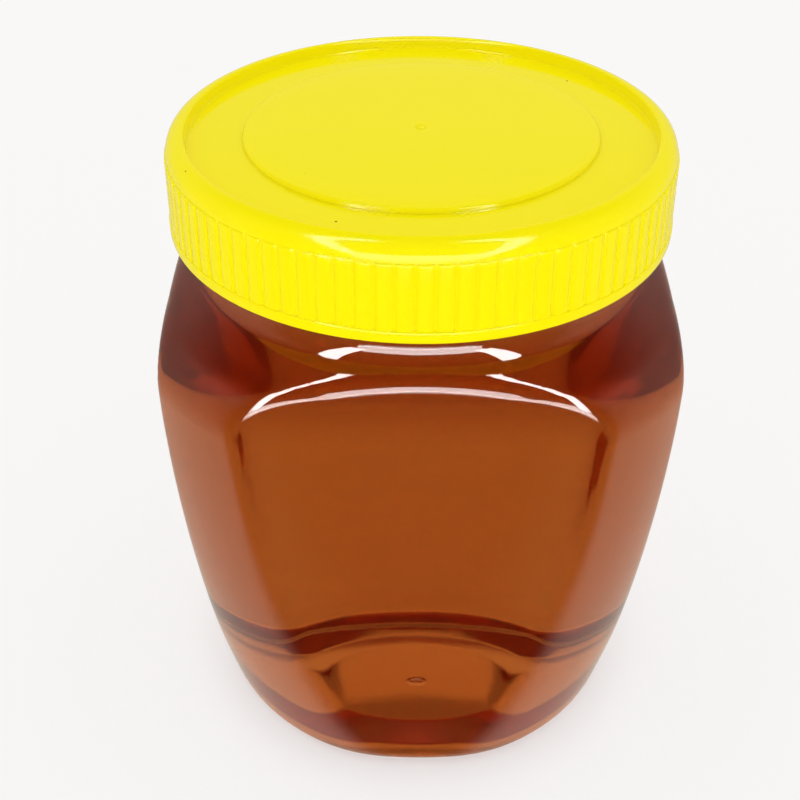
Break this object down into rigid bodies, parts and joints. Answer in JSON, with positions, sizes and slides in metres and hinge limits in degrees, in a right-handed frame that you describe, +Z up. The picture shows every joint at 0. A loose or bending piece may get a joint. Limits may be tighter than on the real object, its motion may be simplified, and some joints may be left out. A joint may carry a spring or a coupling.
{
  "type": "honey jar",
  "caption": "Clear blown plastic jar with arched flats, filled with amber honey and closed by a yellow ribbed screw lid.",
  "frame": {"origin": "centre of the ring that the jar stands on, in the plane of that ring", "axes": "+Z up along the jar's axis to the lid; -Y out of the front flat, +X out of the right-hand flat"},
  "size_m": [0.0882, 0.0882, 0.12],
  "materials": {
    "clear_plastic": "clear, smooth, thin blown plastic",
    "honey": "clear amber liquid",
    "lid_plastic": "moulded, satin gloss, opaque yellow"
  },
  "bodies": {
    "root": {"jar": "clear_plastic", "honey": "honey", "lid": "lid_plastic"}
  },
  "joints": []
}
